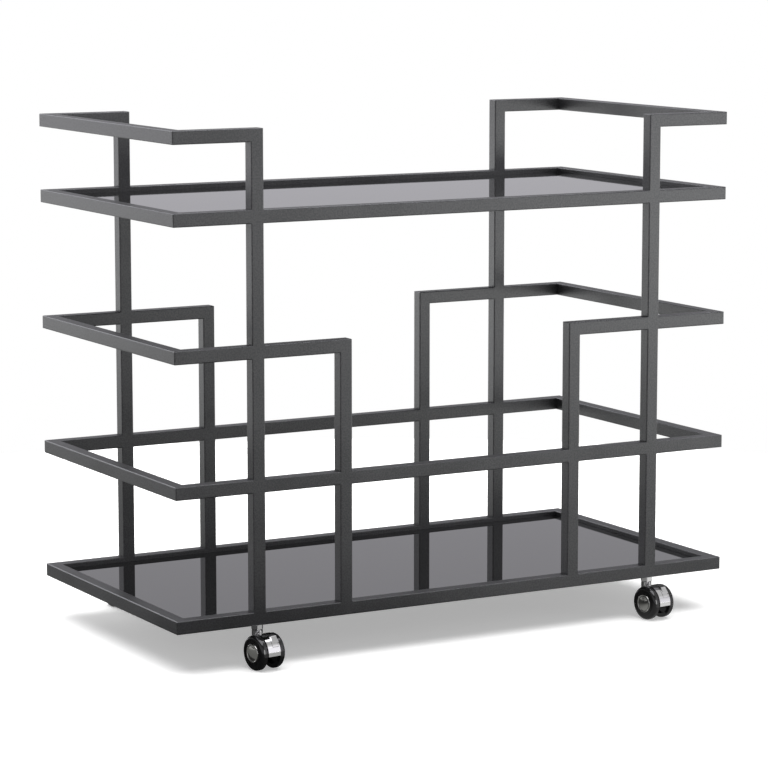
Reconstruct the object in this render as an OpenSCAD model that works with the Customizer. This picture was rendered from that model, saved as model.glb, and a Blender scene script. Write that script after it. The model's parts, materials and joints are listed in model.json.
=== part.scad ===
// Bar cart on wheels: a welded square-tube frame with two glass shelves, stepped end
// guards, raised end handles and four swivelling twin-wheel casters.
// The origin is on the floor at the middle of the cart. +X runs along its length to
// the right, +Y to the rear and +Z up. All sizes are in millimetres.

/* [Frame] */
// Overall length of the frame, left to right
frame_length = 914; // [860:1:1000]
// Overall depth of the frame, front to rear
frame_depth = 457; // [400:1:520]
// Outside width of the square tube
tube = 19; // [18:0.5:22]
// Wall thickness of the tube
tube_wall = 1.2; // [1.1:0.1:1.4]
// Outside corner radius of the tube
tube_corner = 1.5; // [1.5:0.1:1.8]
// Clear gap from the frame's end to the tall posts, and from those to the short posts
bay = 119; // [100:1:130]
// Rise from the top of one level to the top of the next, over the lower four levels
level_rise = 188; // [160:1:220]
// Rise from the top of the upper shelf's rails to the top of the handles
handle_rise = 112; // [90:1:140]

/* [Shelves] */
// Thickness of the glass
glass_thickness = 5; // [4:0.5:6]
// Depth of the glass below the top of its rails
glass_drop = 7; // [6:0.5:8]
// Gap all round between the glass and its rails
glass_gap = 1; // [0.5:0.5:2]

/* [Casters] */
// Diameter of the wheels
wheel_d = 50; // [48:1:51]
// Height of the frame's underside above the floor
caster_height = 61; // [61:1:65]
// Distance from the swivel axis to the wheels' axle
caster_trail = 17; // [16:1:19]
// Angle that the casters are turned from pointing straight out of the cart
caster_yaw = 8; // [0:1:30]
// Width over both wheels of a caster
caster_width = 40; // [39:1:43]
// Gap between the two wheels of a caster
wheel_gap = 21; // [21:0.5:22]

/* [Hidden] */
$fn = 48;

half_length = frame_length / 2;
half_depth = frame_depth / 2;
half_tube = tube / 2;
tall_post_x = half_length - bay - half_tube;
short_post_x = tall_post_x - bay - tube;
post_y = half_depth - half_tube;

// Hairline left at the mitres of the guards and handles, so that each length of tube
// stays a solid of its own
weld_gap = 0.02;

// Levels: 1 lower shelf, 2 lower rail, 3 guard, 4 upper shelf, 5 handle
function level_top(level) = caster_height + tube
    + (level < 5 ? (level - 1) * level_rise : 3 * level_rise + handle_rise);
function level_mid(level) = level_top(level) - half_tube;
function level_bottom(level) = level_top(level) - tube;

// Glass supports
tab_thickness = 2;
tab_width = 20;
tab_reach = 12;
tab_x = [-300, 0, 300];
bumper_height = 1.5;
bumper_d = 9;
tab_drop = glass_drop + glass_thickness + bumper_height + tab_thickness;

// Caster stem, which is fixed to the frame
thread_d = 8;
thread_top = caster_height + 11;
thread_hole_d = 8.6;
hex_height = 6.5;
hex_flats = 16;
hex_bottom = caster_height - hex_height;
pin_d = 8;
pin_bottom = 35;
clip_z = 38.6;
clip_thickness = 1.2;
clip_inner_r = 3.5;
clip_outer_r = 4.8;
weld_nut_flats = 13;
weld_nut_height = 6.5;

// Caster housing
running_gap = 0.05;
side_gap = 0.4;
wheel_r = wheel_d / 2;
axle_r = 3;
neck_d = 15.5;
neck_top = hex_bottom - 0.3;
neck_bottom = 20;
neck_chamfer = 0.8;
neck_narrow_d = neck_d - 2 * neck_chamfer;
hood_width = wheel_gap - 2 * side_gap;
hood_proud = 0.8;
hood_r = wheel_r + hood_proud;
hood_thickness = 2.6;
hood_low_angle = -5;
hood_high_angle = 120;
web_thickness = 4;
web_x = -5;
boss_r = 6;
boss_link = 8;

// Wheels
wheel_width = (caster_width - wheel_gap) / 2;
tread_round = 4.6;
inner_round = 1.2;
cap_r = 13.6;
cap_seat = 1;
cap_crown = 2;
groove_start = 5.7;
groove_width = 1.4;
groove_r = 2.6;

// Brake lever, in the front casters only
lever_left = -1.8;
lever_pivot_angle = 27;
lever_pivot_r = hood_r - 2.6;
lever_top_angle = 79;
lever_barrel_r = 2.6;
lever_tab_start = 0.8;
lever_tab_low_angle = 42;
lever_tab_peak_angle = 59;
lever_tab_back_angle = 70;
lever_tab_height = 2.4;
lever_pin_r = 1.2;
ear_start = 8.2;
ear_reach = 7.5;

// Corners: name, side along X, side along Y
CORNERS = [
    ["front_left", -1, -1],
    ["front_right", 1, -1],
    ["rear_left", -1, 1],
    ["rear_right", 1, 1],
];
// Rings of four rails: name, level, post positions along X, faces that posts stand on
RINGS = [
    ["bottom", 1, [tall_post_x, short_post_x], [1]],
    ["lower", 2, [tall_post_x, short_post_x], [-1, 1]],
    ["shelf", 4, [tall_post_x], [-1, 1]],
];
SIDES = [["left", -1], ["right", 1]];
FACES = [["front", -1], ["rear", 1]];
BRAKED = [CORNERS[0], CORNERS[1]];

frame_colour = "#505153";
glass_colour = "#24262a";
chrome_colour = "#c9ccd0";
steel_colour = "#9a9c9e";
wheel_colour = "#161716";
bumper_colour = "#d8dcdc";

// ---- Square tube ----

module rounded_rectangle(width, height, radius) {
    square([width, height - 2 * radius], center = true);
    square([width - 2 * radius, height], center = true);
    for (x = [-1, 1], y = [-1, 1])
        translate([x * (width / 2 - radius), y * (height / 2 - radius)]) circle(radius);
}

module tube_section() {
    difference() {
        rounded_rectangle(tube, tube, tube_corner);
        square(tube - 2 * tube_wall, center = true);
    }
}

module tube_along_x(start, end) {
    translate([start, 0, 0]) rotate([90, 0, 90]) linear_extrude(end - start) tube_section();
}

module tube_along_y(start, end) {
    translate([0, end, 0]) rotate([90, 0, 0]) linear_extrude(end - start) tube_section();
}

module tube_along_z(start, end) {
    translate([0, 0, start]) linear_extrude(end - start) tube_section();
}

// Fills the rounded long edges of a rail where a post meets it, so that the faces of
// rail and post run into each other without a notch
module squared_edges(faces) {
    edge_centre = half_tube - tube_corner / 2;
    for (y = [-1, 1], z = faces)
        translate([0, y * edge_centre, z * edge_centre])
            cube([tube, tube_corner, tube_corner], center = true);
}

// Mirrors the front left quarter into the quarter with the given signs
module in_quarter(x_side, y_side) {
    mirror([x_side > 0 ? 1 : 0, 0, 0]) mirror([0, y_side > 0 ? 1 : 0, 0]) children();
}

// ---- Mitred ends ----

module plan_prism() {
    linear_extrude(tube + 2, center = true)
        intersection() {
            rounded_rectangle(frame_length, frame_depth, tube_corner);
            children();
        }
}

// Keeps what a front rail has between its two mitres
module front_mitres() {
    plan_prism() polygon([
        [-half_length, -half_depth],
        [half_length, -half_depth],
        [half_length - half_depth, 0],
        [half_depth - half_length, 0],
    ]);
}

// Keeps what a left rail has between its two mitres, less a gap at each
module left_mitres(gap) {
    plan_prism() polygon([
        [-half_length, gap - half_depth],
        [half_depth - gap - half_length, 0],
        [-half_length, half_depth - gap],
    ]);
}

// Rounds the upper corner at (x, z), seen from the front, and keeps one side of its
// mitre: the rail that comes from the left, or the post that comes from below
module upper_corner(x, z, keep) {
    reach = 3 * tube;
    rail_side = [[x, z], [x - reach, z - reach], [x - frame_length, z - reach], [x - frame_length, z]];
    post_side = [[x, z], [x - reach, z - reach], [x - reach, 0], [x, 0]];
    rotate([90, 0, 0])
        linear_extrude(frame_depth + 2, center = true)
            intersection() {
                polygon(keep == "rail" ? rail_side : post_side);
                union() {
                    translate([x - frame_length, 0]) square([frame_length - tube_corner, z]);
                    translate([x - frame_length, 0]) square([frame_length, z - tube_corner]);
                    translate([x - tube_corner, z - tube_corner]) circle(tube_corner);
                }
            }
}

// ---- Rails ----

module caster_holes() {
    for (x = [-1, 1])
        translate([x * tall_post_x, -post_y, -half_tube - 1])
            cylinder(d = thread_hole_d, h = tube_wall + 2);
}

module front_rail(level, post_xs, faces) {
    translate([0, 0, level_mid(level)])
        difference() {
            union() {
                intersection() {
                    translate([0, -post_y, 0]) tube_along_x(-half_length, half_length);
                    front_mitres();
                }
                for (x = post_xs, side = [-1, 1])
                    translate([side * x, -post_y, 0]) squared_edges(faces);
            }
            if (level == 1) caster_holes();
        }
}

module left_rail(level, gap = 0) {
    translate([0, 0, level_mid(level)])
        intersection() {
            translate([half_tube - half_length, 0, 0]) tube_along_y(-half_depth, half_depth);
            left_mitres(gap);
        }
}

// The front arm of a guard or handle: from the frame's left end to the post it turns
// down into, whose inner face is at arm_end
module front_arm(level, arm_end) {
    intersection() {
        translate([0, 0, level_mid(level)])
            intersection() {
                translate([0, -post_y, 0]) tube_along_x(-half_length, arm_end);
                front_mitres();
            }
        upper_corner(arm_end, level_top(level), "rail");
    }
}

module left_guard() {
    color(frame_colour) {
        left_rail(3, weld_gap);
        for (y = [-1, 1])
            in_quarter(-1, y) {
                front_arm(3, half_tube - short_post_x);
                translate([-tall_post_x, -post_y, level_mid(3)]) squared_edges([-1, 1]);
            }
    }
}

module left_handle() {
    color(frame_colour) {
        left_rail(5, weld_gap);
        for (y = [-1, 1]) in_quarter(-1, y) front_arm(5, half_tube - tall_post_x);
    }
}

// ---- Posts ----

module post_between(level) {
    tube_along_z(level_top(level), level_bottom(level + 1));
}

// The front left post, in lengths between the rails that it crosses. Its top length
// is mitred to the arm above.
module post(x, top_level) {
    color(frame_colour) {
        for (level = [1 : top_level - 2])
            translate([-x, -post_y, 0]) post_between(level);
        intersection() {
            translate([-x, -post_y, 0])
                tube_along_z(level_top(top_level - 1), level_top(top_level));
            upper_corner(half_tube - x, level_top(top_level), "post");
        }
    }
}

// ---- Shelves ----

module glass_panel(level) {
    color(glass_colour)
        translate([0, 0, level_top(level) - glass_drop - glass_thickness])
            linear_extrude(glass_thickness)
                square([frame_length, frame_depth] - 2 * (tube + glass_gap) * [1, 1], center = true);
}

// Places its children at each support, with +Y pointing from the rail towards the glass
module at_supports(level) {
    for (x = tab_x, turn = [0, 180])
        rotate(turn) translate([x, tube - half_depth, level_top(level) - tab_drop]) children();
    for (turn = [90, -90])
        rotate(turn) translate([0, tube - half_length, level_top(level) - tab_drop]) children();
}

module glass_tabs() {
    color(frame_colour)
        for (level = [1, 4])
            at_supports(level)
                translate([-tab_width / 2, 0, 0]) cube([tab_width, tab_reach, tab_thickness]);
}

module glass_bumpers() {
    color(bumper_colour)
        for (level = [1, 4])
            at_supports(level)
                translate([0, tab_reach / 2 + 0.5, tab_thickness])
                    cylinder(d = bumper_d, h = bumper_height);
}

// ---- Caster stems, fixed to the frame ----

module at_stems() {
    for (corner = CORNERS)
        translate([corner[1] * tall_post_x, corner[2] * post_y, 0]) children();
}

module hexagon(flats, height) {
    cylinder(d = flats / cos(30), h = height, $fn = 6);
}

module caster_stems() {
    chamfer = 0.8;
    color(chrome_colour)
        at_stems() {
            translate([0, 0, hex_bottom])
                intersection() {
                    hexagon(hex_flats, hex_height);
                    union() {
                        cylinder(d1 = hex_flats, d2 = hex_flats + 2 * chamfer, h = chamfer);
                        translate([0, 0, chamfer])
                            cylinder(d = hex_flats + 2 * chamfer, h = hex_height - chamfer);
                    }
                }
            translate([0, 0, caster_height])
                cylinder(d = thread_d, h = thread_top - caster_height);
            difference() {
                translate([0, 0, pin_bottom]) cylinder(d = pin_d, h = hex_bottom - pin_bottom);
                translate([0, 0, clip_z - clip_thickness / 2 - 0.1])
                    difference() {
                        cylinder(d = pin_d + 2, h = clip_thickness + 0.2);
                        cylinder(r = clip_inner_r - 0.1, h = clip_thickness + 0.2);
                    }
            }
        }
}

module stem_clips() {
    color(steel_colour)
        at_stems()
            translate([0, 0, clip_z - clip_thickness / 2])
                difference() {
                    cylinder(r = clip_outer_r, h = clip_thickness);
                    translate([0, 0, -1]) cylinder(r = clip_inner_r, h = clip_thickness + 2);
                }
}

module caster_weld_nuts() {
    color(steel_colour)
        at_stems()
            translate([0, 0, caster_height + tube_wall])
                difference() {
                    hexagon(weld_nut_flats, weld_nut_height);
                    translate([0, 0, -1]) cylinder(d = thread_d, h = weld_nut_height + 2);
                }
}

// ---- Casters ----
// A caster is drawn about its own swivel axis: its axle lies along X, and the wheels
// trail towards -Y.

module at_corner(corner) {
    translate([corner[1] * tall_post_x, corner[2] * post_y, 0])
        rotate(corner[2] < 0 ? caster_yaw : 180 + caster_yaw)
            children();
}

// Side of the axle, along the caster's own X, on which the outer wheel of a corner is
function outer_side(corner) = -corner[1] * corner[2];

// Extrudes a side view, drawn as (Y, Z) about the axle, along X
module side_view(start, end) {
    translate([start, -caster_trail, wheel_r])
        rotate([90, 0, 90]) linear_extrude(end - start) children();
}

function around_axle(radius, angle) = radius * [-cos(angle), sin(angle)];

// The part of a side view between two angles, which start at the front and rise
module sector(low, high) {
    reach = 2 * wheel_r;
    middle = (low + high) / 2;
    polygon([[0, 0], around_axle(reach, low), around_axle(reach, middle), around_axle(reach, high)]);
}

module ring_sector(inner, outer, low, high) {
    intersection() {
        difference() {
            circle(outer);
            circle(inner);
        }
        sector(low, high);
    }
}

module lever_pivot_circle(radius) {
    translate(around_axle(lever_pivot_r, lever_pivot_angle)) circle(radius);
}

module lever_window() {
    side_view(lever_left - side_gap, hood_width) {
        ring_sector(boss_r + 1, wheel_r + 5, lever_pivot_angle, lever_top_angle + 1);
        lever_pivot_circle(lever_barrel_r + side_gap);
    }
}

module lever_ears() {
    half_hood = hood_width / 2;
    side_view(web_x - web_thickness / 2, lever_left - side_gap) lever_pivot_circle(2.6);
    side_view(ear_start, half_hood) {
        lever_pivot_circle(2.6);
        ring_sector(hood_r - 4.8, hood_r, lever_pivot_angle - 9, lever_pivot_angle + ear_reach);
    }
}

module housing_shape() {
    half_hood = hood_width / 2;
    side_view(-half_hood, half_hood) {
        ring_sector(hood_r - hood_thickness, hood_r, hood_low_angle, hood_high_angle);
        circle(boss_r);
    }
    side_view(web_x - web_thickness / 2, web_x + web_thickness / 2)
        ring_sector(boss_r - 1, hood_r - 1, 0, 150);
    translate([0, 0, neck_bottom + neck_chamfer])
        cylinder(d = neck_d, h = neck_top - neck_bottom - 2 * neck_chamfer);
    for (end = [[neck_bottom, neck_narrow_d, neck_d], [neck_top - neck_chamfer, neck_d, neck_narrow_d]])
        translate([0, 0, end[0]]) cylinder(d1 = end[1], d2 = end[2], h = neck_chamfer);
    translate([-boss_link / 2, -caster_trail, wheel_r - boss_link / 2])
        cube([boss_link, caster_trail, boss_link]);
}

module caster_housing(corner, braked) {
    color(chrome_colour)
        at_corner(corner)
            difference() {
                union() {
                    difference() {
                        housing_shape();
                        if (braked) lever_window();
                    }
                    if (braked) lever_ears();
                }
                translate([0, 0, pin_bottom - 1])
                    cylinder(d = pin_d + 2 * running_gap, h = caster_height);
                translate([0, 0, clip_z - 1.1]) cylinder(r = clip_outer_r + 0.3, h = 2.2);
                side_view(-hood_width, hood_width) circle(axle_r);
                if (braked) side_view(-7.5, hood_width) lever_pivot_circle(lever_pin_r);
            }
}

module axle(corner) {
    axle_half = wheel_gap / 2 + wheel_width - cap_seat - 0.7;
    groove_at = wheel_gap / 2 + groove_start;
    color(steel_colour)
        at_corner(corner)
            difference() {
                side_view(-axle_half, axle_half) circle(axle_r);
                for (side = [-1, 1])
                    translate([side * (groove_at + groove_width / 2), 0, 0])
                        side_view(-groove_width / 2, groove_width / 2)
                            difference() {
                                circle(axle_r + 1);
                                circle(groove_r);
                            }
            }
}

// Turns children, drawn about Z with their outer face up, onto the axle
module on_axle(corner, side) {
    at_corner(corner)
        translate([side * wheel_gap / 2, -caster_trail, wheel_r])
            rotate([0, side * 90, 0])
                children();
}

module wheel_section() {
    lip_clearance = 0.2;
    lip_start = groove_start + lip_clearance;
    lip_end = groove_start + groove_width - lip_clearance;
    difference() {
        union() {
            square([wheel_r - tread_round, wheel_width]);
            square([wheel_r - inner_round, wheel_width - tread_round]);
            translate([0, inner_round])
                square([wheel_r, wheel_width - tread_round - inner_round]);
            translate([wheel_r - tread_round, wheel_width - tread_round]) circle(tread_round);
            translate([wheel_r - inner_round, inner_round]) circle(inner_round);
        }
        translate([-1, -1]) square([axle_r + running_gap + 1, lip_start + 1]);
        translate([-1, 0]) square([groove_r + 0.2 + 1, wheel_width + 1]);
        translate([-1, lip_end]) square([axle_r + running_gap + 1, wheel_width]);
        translate([0, wheel_width - cap_seat]) square([cap_r + 0.1, cap_seat + 1]);
        translate([8, -1]) square([wheel_r - tread_round - 9.5, 5.5]);
        translate([17.2, wheel_width - 0.4]) square([1, 1]);
    }
}

module wheel(corner, side) {
    color(wheel_colour) on_axle(corner, side) rotate_extrude() wheel_section();
}

module cap(corner, side) {
    crown_r = (cap_r * cap_r + cap_crown * cap_crown) / (2 * cap_crown);
    rim = cap_seat + 0.1;
    color(chrome_colour)
        on_axle(corner, side)
            translate([0, 0, wheel_width - cap_seat])
                intersection() {
                    cylinder(r = cap_r, h = rim + cap_crown + 1);
                    translate([0, 0, rim + cap_crown - crown_r]) sphere(crown_r, $fn = 200);
                }
}

// A finger tab that rises from the lever's surface to a peak and falls back to it
module lever_tab_profile() {
    polygon([
        around_axle(hood_r - 1, lever_tab_low_angle),
        around_axle(hood_r + 0.2, lever_tab_low_angle),
        around_axle(hood_r + lever_tab_height - 0.3, lever_tab_peak_angle - 1),
        around_axle(hood_r + lever_tab_height, lever_tab_peak_angle),
        around_axle(hood_r + lever_tab_height - 0.2, lever_tab_peak_angle + 1.2),
        around_axle(hood_r + 1.2, lever_tab_back_angle),
        around_axle(hood_r + 0.2, lever_top_angle),
        around_axle(hood_r - 1, lever_top_angle),
        around_axle(hood_r - 1, (lever_tab_low_angle + lever_top_angle) / 2),
    ]);
}

module brake_lever(corner) {
    half_hood = hood_width / 2;
    panel_outer = hood_r + 0.2;
    panel_inner = hood_r - 2.4;
    color(chrome_colour)
        at_corner(corner)
            difference() {
                union() {
                    side_view(lever_left, ear_start - side_gap) {
                        ring_sector(panel_inner, panel_outer, lever_pivot_angle, lever_top_angle);
                        lever_pivot_circle(lever_barrel_r);
                    }
                    side_view(ear_start - side_gap - 1, half_hood)
                        ring_sector(panel_inner, panel_outer, lever_pivot_angle + 9, lever_top_angle);
                    side_view(lever_tab_start, half_hood - 0.4) lever_tab_profile();
                }
                side_view(-hood_width, hood_width) lever_pivot_circle(lever_pin_r + running_gap);
            }
}

module lever_pin(corner) {
    color(steel_colour)
        at_corner(corner)
            side_view(-7.5, hood_width / 2 - 0.2) lever_pivot_circle(lever_pin_r);
}

// ---- Assembly ----

for (ring = RINGS, face = FACES)
    color(frame_colour) in_quarter(-1, face[1]) front_rail(ring[1], ring[2], ring[3]);
for (ring = RINGS, side = SIDES)
    color(frame_colour) in_quarter(side[1], -1) left_rail(ring[1]);
for (side = SIDES)
    in_quarter(side[1], -1) left_guard();
for (side = SIDES)
    in_quarter(side[1], -1) left_handle();
for (corner = CORNERS)
    in_quarter(corner[1], corner[2]) post(tall_post_x, 5);
for (corner = CORNERS)
    in_quarter(corner[1], corner[2]) post(short_post_x, 3);
glass_panel(1);  // lower_glass
glass_panel(4);  // upper_glass
glass_tabs();
glass_bumpers();
caster_weld_nuts();
caster_stems();
stem_clips();
for (corner = CORNERS)
    caster_housing(corner, corner[2] < 0);
for (corner = CORNERS)
    axle(corner);
for (corner = CORNERS)
    wheel(corner, outer_side(corner));
for (corner = CORNERS)
    wheel(corner, -outer_side(corner));
for (corner = CORNERS)
    cap(corner, outer_side(corner));
for (corner = CORNERS)
    cap(corner, -outer_side(corner));
for (corner = BRAKED)
    brake_lever(corner);
for (corner = BRAKED)
    lever_pin(corner);
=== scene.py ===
"""A bar cart on wheels: satin gunmetal square tube, black glass shelves and twin-wheel
casters, on a white studio floor. Lengths are in metres."""
import json
import math

import bmesh
import bpy
from mathutils import Matrix, Vector


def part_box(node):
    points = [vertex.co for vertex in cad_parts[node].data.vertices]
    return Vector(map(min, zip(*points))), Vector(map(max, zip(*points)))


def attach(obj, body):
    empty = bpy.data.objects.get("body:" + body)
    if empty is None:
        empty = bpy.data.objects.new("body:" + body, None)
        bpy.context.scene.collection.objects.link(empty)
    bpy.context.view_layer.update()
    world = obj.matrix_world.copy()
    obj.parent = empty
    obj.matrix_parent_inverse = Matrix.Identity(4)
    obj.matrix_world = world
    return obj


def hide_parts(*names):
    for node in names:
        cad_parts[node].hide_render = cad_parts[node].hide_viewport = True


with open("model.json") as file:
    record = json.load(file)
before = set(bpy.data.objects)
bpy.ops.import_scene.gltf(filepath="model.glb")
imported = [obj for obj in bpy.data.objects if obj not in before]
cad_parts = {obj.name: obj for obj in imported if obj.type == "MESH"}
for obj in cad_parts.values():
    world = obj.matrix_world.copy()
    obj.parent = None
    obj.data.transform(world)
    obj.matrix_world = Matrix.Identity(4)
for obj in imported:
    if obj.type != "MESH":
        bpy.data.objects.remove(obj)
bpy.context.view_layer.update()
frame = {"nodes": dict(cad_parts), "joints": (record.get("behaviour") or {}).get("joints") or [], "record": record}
NODES = frame["nodes"]
SLOT_OF_NODE = {part["node"]: part["material_slot"] for part in frame["record"]["subparts"]}

# ---- Node helpers ----


class Shader:
    """A small builder for a material's or a world's node tree."""

    def __init__(self, owner):
        owner.use_nodes = True
        self.tree = owner.node_tree
        self.tree.nodes.clear()

    def add(self, kind, inputs=None, **settings):
        node = self.tree.nodes.new(kind)
        for name, value in settings.items():
            setattr(node, name, value)
        for name, value in (inputs or {}).items():
            self.feed(value, node.inputs[name])
        return node

    def feed(self, value, socket):
        if isinstance(value, bpy.types.NodeSocket):
            self.tree.links.new(value, socket)
        else:
            socket.default_value = value

    def math(self, operation, *values):
        node = self.add("ShaderNodeMath", operation=operation)
        for socket, value in zip(node.inputs, values):
            self.feed(value, socket)
        return node.outputs[0]

    def vector_math(self, operation, *values):
        """The output named Value for a length or a dot product, and Vector for the rest."""
        node = self.add("ShaderNodeVectorMath", operation=operation)
        for socket, value in zip(node.inputs, values):
            self.feed(value, socket)
        return node.outputs["Value" if operation in ("LENGTH", "DOT_PRODUCT") else "Vector"]

    def ramp(self, value, *, low, high, start=0.0, end=1.0):
        """value from low to high, mapped smoothly onto start to end."""
        node = self.add("ShaderNodeMapRange", {"Value": value}, interpolation_type="SMOOTHSTEP")
        limits = {"From Min": low, "From Max": high, "To Min": start, "To Max": end}
        for name, number in limits.items():
            node.inputs[name].default_value = number
        return node.outputs["Result"]

    def mix(self, share, first, second):
        node = self.add("ShaderNodeMix", data_type="RGBA")
        self.feed(share, node.inputs["Factor"])
        self.feed(first, node.inputs["A"])
        self.feed(second, node.inputs["B"])
        return node.outputs["Result"]

    def noise(self, scale, detail, roughness=0.5):
        place = self.add("ShaderNodeTexCoord").outputs["Object"]
        inputs = {"Vector": place, "Scale": scale, "Detail": detail, "Roughness": roughness}
        return self.add("ShaderNodeTexNoise", inputs).outputs["Fac"]

    def bump(self, height, distance, strength=1.0):
        inputs = {"Height": height, "Distance": distance, "Strength": strength}
        return self.add("ShaderNodeBump", inputs).outputs["Normal"]

    def principled(self, **inputs):
        """Makes the material's surface. An input's name has _ for each space."""
        node = self.add("ShaderNodeBsdfPrincipled")
        for name, value in inputs.items():
            self.feed(value, node.inputs[name.replace("_", " ")])
        output = self.add("ShaderNodeOutputMaterial")
        self.tree.links.new(node.outputs[0], output.inputs["Surface"])


def grey(value, red=1.0, green=1.0, blue=1.0):
    """A grey, which the three factors may tint."""
    return (value * red, value * green, value * blue, 1.0)


# ---- Materials ----


def frame_paint():
    """Satin gunmetal powder coat: a fine orange peel, a metallic speckle and faint clouding."""
    material = bpy.data.materials.new("satin_gunmetal")
    shader = Shader(material)
    speckle = shader.noise(1400, detail=3, roughness=0.6)
    peel = shader.noise(420, detail=2)
    cloud = shader.noise(9, detail=3)
    tone = shader.math("ADD", shader.ramp(speckle, low=0.35, high=0.65, start=-0.5, end=0.5),
                       shader.ramp(cloud, low=0.3, high=0.7, start=-0.35, end=0.35))
    tone = shader.math("ADD", tone, shader.ramp(peel, low=0.35, high=0.65, start=-0.5, end=0.5))
    share = shader.math("ADD", tone, 0.5)
    height = shader.math("ADD", shader.math("MULTIPLY", speckle, 0.4), peel)
    shader.principled(
        Base_Color=shader.mix(share, grey(0.099, 0.985, 1, 1), grey(0.138, 0.985, 1, 1)),
        Metallic=0.9,
        Roughness=shader.ramp(cloud, low=0.25, high=0.75, start=0.34, end=0.4),
        Specular_Tint=grey(0.6),
        Normal=shader.bump(height, 0.00002, 0.5),
    )
    return material


def black_glass():
    """Opaque black glass, polished, with the faintest float ripple."""
    material = bpy.data.materials.new("black_glass")
    shader = Shader(material)
    ripple = shader.noise(6, detail=1)
    haze = shader.noise(60, detail=4)
    shader.principled(
        Base_Color=shader.mix(haze, grey(0.0025), grey(0.0035)),
        Roughness=shader.ramp(haze, low=0.3, high=0.7, start=0.015, end=0.03),
        Normal=shader.bump(ripple, 0.00002),
    )
    return material


def chrome():
    """Bright chrome plating with a faint haze."""
    material = bpy.data.materials.new("polished_chrome")
    shader = Shader(material)
    haze = shader.noise(300, detail=3)
    shader.principled(
        Base_Color=shader.mix(haze, grey(0.64, 1, 1, 0.99), grey(0.7, 1, 1, 0.99)),
        Metallic=1.0,
        Roughness=shader.ramp(haze, low=0.3, high=0.7, start=0.05, end=0.09),
        Normal=shader.bump(shader.noise(90, detail=1), 0.00003),
    )
    return material


def smoked_chrome():
    """The hub caps: a darker, slightly warm chrome."""
    material = bpy.data.materials.new("smoked_chrome")
    shader = Shader(material)
    haze = shader.noise(260, detail=3)
    shader.principled(
        Base_Color=shader.mix(haze, grey(0.36, 1.0, 1.0, 0.94), grey(0.44, 1.0, 1.0, 0.94)),
        Metallic=1.0,
        Roughness=shader.ramp(haze, low=0.3, high=0.7, start=0.1, end=0.16),
        Normal=shader.bump(shader.noise(120, detail=1), 0.00003),
    )
    return material


def steel():
    """Plain machined steel for the axles, pins, nuts and snap rings."""
    material = bpy.data.materials.new("plain_steel")
    shader = Shader(material)
    grain = shader.noise(700, detail=3)
    shader.principled(
        Base_Color=shader.mix(grain, grey(0.4), grey(0.5)),
        Metallic=1.0,
        Roughness=shader.ramp(grain, low=0.3, high=0.7, start=0.25, end=0.4),
        Normal=shader.bump(grain, 0.00002),
    )
    return material


def wheel_plastic():
    """Glossy black moulded plastic."""
    material = bpy.data.materials.new("black_wheel_plastic")
    shader = Shader(material)
    grain = shader.noise(900, detail=3)
    shader.principled(
        Base_Color=shader.mix(grain, grey(0.006), grey(0.009)),
        Roughness=shader.ramp(grain, low=0.3, high=0.7, start=0.1, end=0.16),
        Normal=shader.bump(grain, 0.00001),
    )
    return material


def bumper_rubber():
    """Soft, pale bumpers under the glass."""
    material = bpy.data.materials.new("clear_bumper")
    shader = Shader(material)
    grain = shader.noise(500, detail=2)
    shader.principled(
        Base_Color=shader.mix(grain, grey(0.5, 0.96, 1, 1), grey(0.6, 0.96, 1, 1)),
        Roughness=shader.ramp(grain, low=0.3, high=0.7, start=0.3, end=0.42),
        Normal=shader.bump(grain, 0.00002),
    )
    return material


MATERIALS = {
    "frame": frame_paint(),
    "glass": black_glass(),
    "chrome": chrome(),
    "cap": smoked_chrome(),
    "steel": steel(),
    "wheel": wheel_plastic(),
    "bumper": bumper_rubber(),
}


def finish_with(piece, slot):
    """Gives a piece the material of one of the record's slots."""
    piece.data.materials.clear()
    piece.data.materials.append(MATERIALS[slot])


for node, piece in NODES.items():
    finish_with(piece, SLOT_OF_NODE[node])

# ---- Detailed pieces ----

CORNERS = ("front_left", "front_right", "rear_left", "rear_right")
JOINTS = {joint["name"]: joint for joint in frame["joints"]}

# Hub cap, in (radius, height above its seat)
CAP_DOME_RADIUS = 0.0112
CAP_DOME_EDGE = 0.0015
CAP_DOME_RISE = 0.0015
CAP_DOME_STEPS = 8
CAP_GROOVE = [(0.01145, 0.0016), (0.0117, 0.0016)]
CAP_RIM = [(0.0119, 0.0018), (0.01215, 0.00205), (0.0125, 0.0022), (0.0129, 0.0021),
           (0.0132, 0.00185), (0.01345, 0.0015), (0.0136, 0.001), (0.0136, 0.0)]
CAP_BACK = [(0.0, 0.0)]

SHARP_EDGE_DEGREES = 40

# Further than this from the middle of a caster's housing are the other casters' stems
CASTER_REACH = 0.2


def new_piece(name, mesh, slot, body, nodes):
    """A finished mesh, in the row frame, that stands for CAD nodes and moves with a body."""
    piece = bpy.data.objects.new(name, mesh)
    bpy.context.scene.collection.objects.link(piece)
    finish_with(piece, slot)
    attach(piece, body)
    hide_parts(*nodes)
    return piece


def lathe(name, profile, place, segments=96):
    """Turns (radius, height) points about Z, and puts the result where place says."""
    rings = []
    built = bmesh.new()
    for radius, height in profile:
        if radius == 0:
            rings.append([built.verts.new((0, 0, height))] * segments)
            continue
        turns = [math.tau * step / segments for step in range(segments)]
        points = [(radius * math.cos(turn), radius * math.sin(turn), height) for turn in turns]
        rings.append([built.verts.new(point) for point in points])
    for low, high in zip(rings, rings[1:]):
        for step in range(segments):
            after = (step + 1) % segments
            corners = [low[step], low[after], high[after], high[step]]
            built.faces.new(list(dict.fromkeys(corners)))
    bmesh.ops.recalc_face_normals(built, faces=built.faces)
    mesh = bpy.data.meshes.new(name)
    built.to_mesh(mesh)
    built.free()
    mesh.transform(place)
    mesh.shade_smooth()
    mesh.set_sharp_from_angle(angle=math.radians(SHARP_EDGE_DEGREES))
    return mesh


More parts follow.
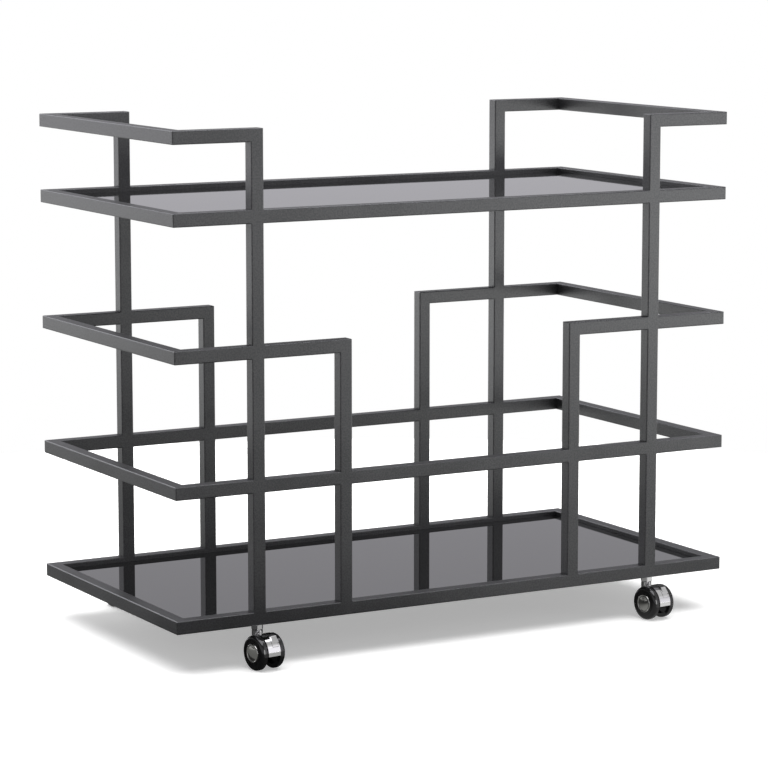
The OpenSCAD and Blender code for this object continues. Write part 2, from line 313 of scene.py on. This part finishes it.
def hub_cap(corner, where):
    """A pressed-on cap: a shallow dome inside a raised, rounded rim."""
    node = f"{corner}_{where}_cap"
    axis = Vector(JOINTS[f"{corner}_{where}_spin"]["axis"]).normalized()
    low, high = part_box(node)
    hub_low, hub_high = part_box(corner + "_axle")
    hub = (hub_low + hub_high) / 2
    if axis.dot((low + high) / 2 - hub) < 0:
        axis = -axis
    seat = min((point.co - hub).dot(axis) for point in NODES[node].data.vertices)
    shares = [step / CAP_DOME_STEPS for step in range(CAP_DOME_STEPS + 1)]
    dome = [(CAP_DOME_RADIUS * share, CAP_DOME_EDGE + CAP_DOME_RISE * (1 - share ** 2)) for share in shares]
    turned = axis.to_track_quat("Z", "Y").to_matrix().to_4x4()
    place = Matrix.Translation(hub + seat * axis) @ turned
    mesh = lathe(node + "_domed", dome + CAP_GROOVE + CAP_RIM + CAP_BACK, place)
    return new_piece(node + "_domed", mesh, "cap", f"{corner}_{where}_wheel_set", [node])


def stem(corner):
    """One caster's stem, cut from the four that CAD draws as one node."""
    mesh = NODES["caster_stems"].data.copy()
    low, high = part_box(corner + "_housing")
    middle = (low + high) / 2
    built = bmesh.new()
    built.from_mesh(mesh)
    far = [point for point in built.verts if (point.co - middle).length > CASTER_REACH]
    bmesh.ops.delete(built, geom=far, context="VERTS")
    built.to_mesh(mesh)
    built.free()
    return new_piece(corner + "_stem", mesh, "chrome", "frame", ["caster_stems"])


CAPS = {corner: hub_cap(corner, "outer") for corner in CORNERS}
for corner in CORNERS:
    hub_cap(corner, "inner")
STEMS = {corner: stem(corner) for corner in CORNERS}

# ---- Studio ----

# Azimuths are in degrees from +X towards +Y
DISC_SIDES = 128
FLOOR_RADIUS = 1.6
FLOOR_GLOW = 0.37
FLOOR_TINT = (1.015, 1.03, 0.97)

GROUND_RADIUS = 9.0
GROUND_DROP = 0.0005
DARK_POOL_CENTRE = (-0.28, -0.6, 0.0)
DARK_POOL_LIGHT = 0.2
NEAR_GROUND_LIGHT = 0.42
FAR_GROUND_LIGHT = 1.6
DARK_SIDE_AZIMUTH = 220
DARK_SIDE_SHADE = 0.12
UNDER_CART_SHADE = 0.15
CART_HALF_LENGTH = -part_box("bottom_left_rail")[0].x
CART_HALF_DEPTH = -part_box("bottom_front_rail")[0].y

BRIGHT_SIDE_AZIMUTH = 29.5
BACKDROP_AZIMUTH = 60.7
BACKDROP_LIGHT = 0.315
FRONT_WALL_LIGHT = 0.7
SIDE_WALL_AZIMUTH = 106
SIDE_WALL_LIGHT = 1.1
SOFTBOX_LIGHT = 3.6
STRIP_AZIMUTH = 100
STRIP_ELEVATION = 30
STRIP_LIGHT = 2.0
LIGHT_COLOUR = (0.985, 0.97, 1.03, 1.0)

# Each caster's cards. caster_lights says from which azimuth each one's turn starts
CARD_DISTANCE = 0.7
FLOOR_CARD_DISTANCE = 0.3
FLOOR_CARD_HEIGHT = 0.002
FRONT_CARD = {"turn": -28, "elevation": 48, "size": (0.6, 0.6), "radiance": 0.44}
FLOOR_CARD = {"turn": -50, "size": (0.48, 0.17), "radiance": 0.42}
WHEEL_CARD = {"turn": -72, "elevation": 8, "size": (0.45, 0.35), "radiance": 7.0}
CAP_CARD = {"turn": 0, "size": (0.5, 1.2), "radiance": 0.2}

# The camera looks to the right of +Y and below level, by these degrees
CAMERA_HEADING = 29.294
CAMERA_TILT = 8.422
CAMERA_PLACE = (-2.2309, -3.9734, 1.0239)
CAMERA_LENS = 143.77
CAMERA_REACH = 100
SENSOR_WIDTH = 36


def heading(azimuth):
    """The level direction at an azimuth."""
    return (math.cos(math.radians(azimuth)), math.sin(math.radians(azimuth)), 0.0)


def upward(azimuth, elevation):
    """The direction at an azimuth and an elevation, both in degrees."""
    x, y, _ = heading(azimuth)
    level = math.cos(math.radians(elevation))
    return Vector((x * level, y * level, math.sin(math.radians(elevation))))


def disc(name, radius, height):
    """A flat round stage piece."""
    bpy.ops.mesh.primitive_circle_add(
        vertices=DISC_SIDES, radius=radius, fill_type="NGON", location=(0, 0, height))
    piece = bpy.context.object
    piece.name = name
    return piece


def white_floor():
    """The pale floor that the camera sees. It takes the cart's shadow and lights nothing."""
    floor = disc("studio_floor", FLOOR_RADIUS, 0)
    floor.visible_diffuse = False
    floor.visible_glossy = False
    floor.visible_shadow = False
    material = bpy.data.materials.new("studio_floor")
    shader = Shader(material)
    grain = shader.noise(40, detail=2)
    shader.principled(
        Base_Color=shader.mix(grain, grey(0.84, *FLOOR_TINT), grey(0.86, *FLOOR_TINT)),
        Roughness=0.9,
        Specular_IOR_Level=0.0,
        Emission_Color=(1, 1, 1, 1),
        Emission_Strength=FLOOR_GLOW,
    )
    floor.data.materials.append(material)


def bright_side(shader, direction):
    """A factor for the studio's light: high on its right, low past the middle, and fair on
    its far left."""
    side = shader.vector_math("DOT_PRODUCT", direction, heading(BRIGHT_SIDE_AZIMUTH))
    right = shader.ramp(side, low=-0.1, high=0.1, start=0.3, end=1.85)
    left = shader.ramp(side, low=-0.3, high=-0.7, start=0.0, end=0.7)
    return shader.math("ADD", right, left)


def studio_ground():
    """What the cart mirrors and is lit by from below: dark under it, in a pool before it and on
    the left of its front, grey round it and bright further out. The camera doesn't see it."""
    ground = disc("studio_ground", GROUND_RADIUS, -GROUND_DROP)
    ground.visible_camera = False
    material = bpy.data.materials.new("studio_ground")
    shader = Shader(material)
    place = shader.add("ShaderNodeTexCoord").outputs["Object"]
    away = shader.vector_math("NORMALIZE", place)
    distance = shader.vector_math("LENGTH", shader.vector_math("SUBTRACT", place, DARK_POOL_CENTRE))
    near = shader.ramp(distance, low=0.2, high=0.75, start=DARK_POOL_LIGHT, end=NEAR_GROUND_LIGHT)
    far = shader.ramp(distance, low=0.8, high=4.9, start=0.0, end=FAR_GROUND_LIGHT)
    glow = shader.math("ADD", near, shader.math("MULTIPLY", far, bright_side(shader, away)))
    cart_scale = (1 / CART_HALF_LENGTH, 1 / CART_HALF_DEPTH, 0.0)
    across = shader.vector_math("LENGTH", shader.vector_math("MULTIPLY", place, cart_scale))
    under = shader.ramp(across, low=0.8, high=1.2, start=UNDER_CART_SHADE, end=1.0)
    darkness = shader.vector_math("DOT_PRODUCT", away, heading(DARK_SIDE_AZIMUTH))
    lit_side = shader.ramp(darkness, low=0.5, high=0.8, start=1.0, end=DARK_SIDE_SHADE)
    shader.principled(
        Base_Color=grey(0.03),
        Roughness=0.9,
        Specular_IOR_Level=0.0,
        Emission_Color=(1, 1, 1, 1),
        Emission_Strength=shader.math("MULTIPLY", shader.math("MULTIPLY", glow, under), lit_side),
    )
    ground.data.materials.append(material)


def studio_light():
    """White to the camera. To the cart: a softbox overhead, a strip, a pale backdrop behind,
    and walls at one side and in front."""
    world = bpy.data.worlds.new("studio")
    bpy.context.scene.world = world
    shader = Shader(world)
    direction = shader.add("ShaderNodeTexCoord").outputs["Generated"]
    up = shader.add("ShaderNodeSeparateXYZ", {"Vector": direction}).outputs["Z"]
    level = shader.vector_math("NORMALIZE", shader.vector_math("MULTIPLY", direction, (1, 1, 0)))

    facing = shader.vector_math("DOT_PRODUCT", level, heading(BACKDROP_AZIMUTH))
    backdrop = shader.math("MULTIPLY", shader.ramp(facing, low=-0.1, high=0.25),
                           shader.ramp(up, low=0.45, high=0.75, start=1.0, end=0.35))
    backdrop = shader.math("MULTIPLY", backdrop, BACKDROP_LIGHT)

    front = shader.ramp(facing, low=-0.3, high=0.1, start=FRONT_WALL_LIGHT, end=0.03)
    front = shader.math("MULTIPLY", front, shader.ramp(up, low=0.35, high=0.7, start=1.0, end=0.2))

    side = shader.vector_math("DOT_PRODUCT", level, heading(SIDE_WALL_AZIMUTH))
    side = shader.ramp(side, low=0.8, high=0.97, start=0.0, end=SIDE_WALL_LIGHT)
    side = shader.math("MULTIPLY", side, shader.ramp(up, low=0.3, high=0.6, start=1.0, end=0.2))

    softbox = shader.ramp(up, low=0.78, high=0.84, start=0.0, end=SOFTBOX_LIGHT)
    strip = shader.vector_math("DOT_PRODUCT", direction, upward(STRIP_AZIMUTH, STRIP_ELEVATION))
    strip = shader.ramp(strip, low=0.955, high=0.975, start=0.0, end=STRIP_LIGHT)

    walls = shader.math("ADD", shader.math("ADD", backdrop, front), side)
    walls = shader.math("MULTIPLY", walls, bright_side(shader, level))
    total = shader.math("ADD", shader.math("ADD", walls, softbox), strip)
    lit = shader.add("ShaderNodeBackground", {"Color": LIGHT_COLOUR, "Strength": total})
    white = shader.add("ShaderNodeBackground", {"Color": (1, 1, 1, 1), "Strength": 1.0})
    seen = shader.add("ShaderNodeLightPath").outputs["Is Camera Ray"]
    both = shader.add("ShaderNodeMixShader", {0: seen, 1: lit.outputs[0], 2: white.outputs[0]})
    output = shader.add("ShaderNodeOutputWorld")
    shader.tree.links.new(both.outputs[0], output.inputs["Surface"])


def card(name, size, radiance, receivers):
    """A glowing card that lights, and mirrors in, the given pieces only."""
    data = bpy.data.lights.new(name, "AREA")
    data.shape = "RECTANGLE"
    data.size, data.size_y = size
    data.energy = radiance * math.pi * size[0] * size[1]
    light = bpy.data.objects.new(name, data)
    light.visible_camera = False
    light.light_linking.receiver_collection = bpy.data.collections.new(name)
    for piece in receivers:
        light.light_linking.receiver_collection.objects.link(piece)
    bpy.context.scene.collection.objects.link(light)
    return light


def facing_card(name, aim, start, receivers, *, turn, elevation, size, radiance):
    """A card that faces a point from a direction."""
    light = card(name, size, radiance, receivers)
    outward = upward(start + turn, elevation)
    light.location = aim + CARD_DISTANCE * outward
    light.rotation_euler = outward.to_track_quat("Z", "Y").to_euler()


def floor_card(name, aim, start, receivers, *, turn, size, radiance):
    """A card that lies on the floor beside a point, face up."""
    light = card(name, size, radiance, receivers)
    light.location = aim + FLOOR_CARD_DISTANCE * upward(start + turn, 0)
    light.location.z = FLOOR_CARD_HEIGHT
    light.rotation_euler = (math.pi, 0, math.radians(start + turn))


def caster_lights(corner):
    """The pale floor and the bright studio round one caster, which its chrome and its wheels
    mirror. The rear casters' cards are the front ones' turned half round."""
    low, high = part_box(corner + "_housing")
    middle = (low + high) / 2
    start = 0.0 if corner.startswith("front") else 180.0
    beyond_cap = 180.0 if corner.endswith("left") else 0.0
    parts = {node: piece for node, piece in NODES.items() if node.startswith(corner)}
    wheels = [piece for node, piece in parts.items() if node.endswith("wheel")]
    shell = [piece for node, piece in parts.items() if node.endswith(("housing", "lever"))]
    bright = [STEMS[corner]] + shell + wheels
    facing_card(corner + "_front_card", middle, start, bright, **FRONT_CARD)
    floor_card(corner + "_floor_card", middle, start, bright, **FLOOR_CARD)
    facing_card(corner + "_wheel_card", middle, start, wheels, **WHEEL_CARD)
    floor_card(corner + "_cap_card", middle, beyond_cap, [CAPS[corner]], **CAP_CARD)


def add_camera():
    """The camera, at the front left of the cart."""
    data = bpy.data.cameras.new("camera")
    data.sensor_width = SENSOR_WIDTH
    data.lens = CAMERA_LENS
    data.clip_end = CAMERA_REACH
    camera = bpy.data.objects.new("camera", data)
    bpy.context.scene.collection.objects.link(camera)
    camera.location = CAMERA_PLACE
    tilt = math.pi / 2 - math.radians(CAMERA_TILT)
    camera.rotation_euler = (tilt, 0, -math.radians(CAMERA_HEADING))
    bpy.context.scene.camera = camera


white_floor()
studio_ground()
studio_light()
for corner in CORNERS:
    caster_lights(corner)
add_camera()
bpy.context.scene.view_settings.view_transform = "Standard"
